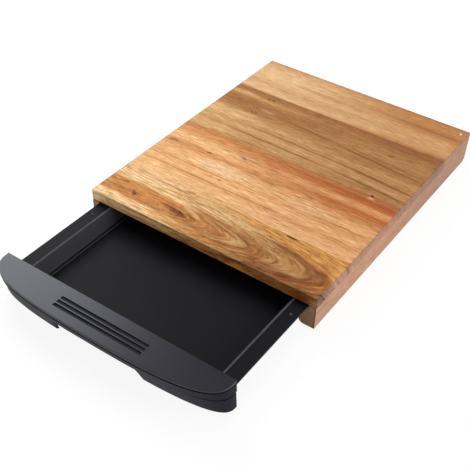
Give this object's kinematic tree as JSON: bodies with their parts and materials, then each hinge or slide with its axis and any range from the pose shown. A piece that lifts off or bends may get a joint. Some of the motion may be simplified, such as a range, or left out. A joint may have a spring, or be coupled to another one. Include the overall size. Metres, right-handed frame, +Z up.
{
  "type": "cutting board with drawer",
  "caption": "Wooden cutting board on two side rails, with a moulded tray drawer that slides out from under it by its deep curved front.",
  "frame": {"origin": "on the surface the object stands on, under the middle of its box with the drawer part open", "axes": "+Z up, -Y towards the drawer front, +X to the right as seen from the front"},
  "size_m": [0.28, 0.5116, 0.041],
  "materials": {
    "acacia_golden": "oiled",
    "acacia_salmon": "oiled",
    "acacia_olive": "oiled",
    "acacia_orange": "oiled",
    "acacia_rail": "oiled",
    "foot_rubber": "matte",
    "tray_plastic": "satin",
    "front_plastic": "satin",
    "screw_steel": "zinc plated"
  },
  "bodies": {
    "board": {"front_plank": "acacia_golden", "second_plank": "acacia_salmon", "third_plank": "acacia_olive", "rear_plank": "acacia_orange", "left_rail": "acacia_rail", "right_rail": "acacia_rail", "rear_rail": "acacia_rail", "front_left_foot": "foot_rubber", "front_right_foot": "foot_rubber", "rear_left_foot": "foot_rubber", "rear_right_foot": "foot_rubber"},
    "drawer": {"drawer_tray": "tray_plastic", "drawer_front_body": "front_plastic", "drawer_front_plate": "front_plastic", "drawer_front_screw_1": "screw_steel", "drawer_front_screw_2": "screw_steel", "drawer_front_screw_3": "screw_steel", "drawer_front_screw_4": "screw_steel"}
  },
  "joints": [
    {"name": "drawer_slide", "type": "slide", "parent": "board", "child": "drawer", "axis": [0, -1, 0], "range_m": [-0.1235, 0.15]}
  ]
}
